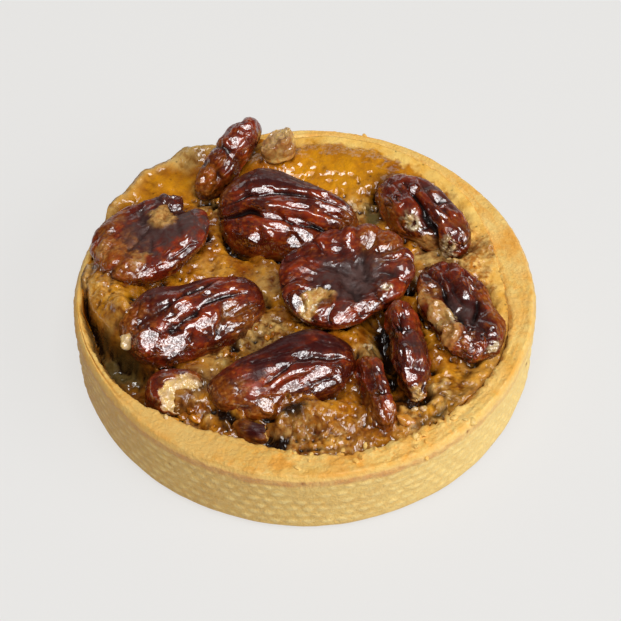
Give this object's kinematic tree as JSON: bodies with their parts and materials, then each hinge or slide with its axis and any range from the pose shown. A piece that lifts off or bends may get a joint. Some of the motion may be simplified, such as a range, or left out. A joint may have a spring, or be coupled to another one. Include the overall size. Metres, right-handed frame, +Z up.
{
  "type": "pecan tartlet",
  "caption": "Round pecan tartlet: a straight-sided shortcrust shell holding baked caramel filling, with glazed pecan halves and broken pieces set into the top.",
  "frame": {"origin": "centre of the tartlet's flat underside", "axes": "+Z up, out of the filling; +X to the right and -Y towards the side facing the viewer, as the tartlet stands on a table"},
  "size_m": [0.0902, 0.0902, 0.0254],
  "materials": {
    "crust": "baked shortcrust pastry, pale golden, dry and slightly crumbly",
    "filling": "baked caramel filling, amber to brown, sticky and glossy",
    "pecan_skin": "dark red-brown pecan skin under a clear sugar glaze",
    "pale_kernel": "pale broken pecan kernel under a clear sugar glaze"
  },
  "bodies": {
    "root": {"crust": "crust", "filling": "filling", "pecan_back_left": "pecan_skin", "pecan_left_open": "pecan_skin", "pecan_back_centre": "pecan_skin", "pecan_left_front": "pecan_skin", "pecan_centre_open": "pecan_skin", "pecan_front": "pecan_skin", "pecan_right_edge": "pecan_skin", "pecan_right_open": "pecan_skin", "pecan_back_right": "pecan_skin", "piece_front_left": "pecan_skin", "piece_front_edge": "pecan_skin", "piece_front_sunk": "pecan_skin", "piece_back_pale": "pale_kernel"}
  },
  "joints": []
}
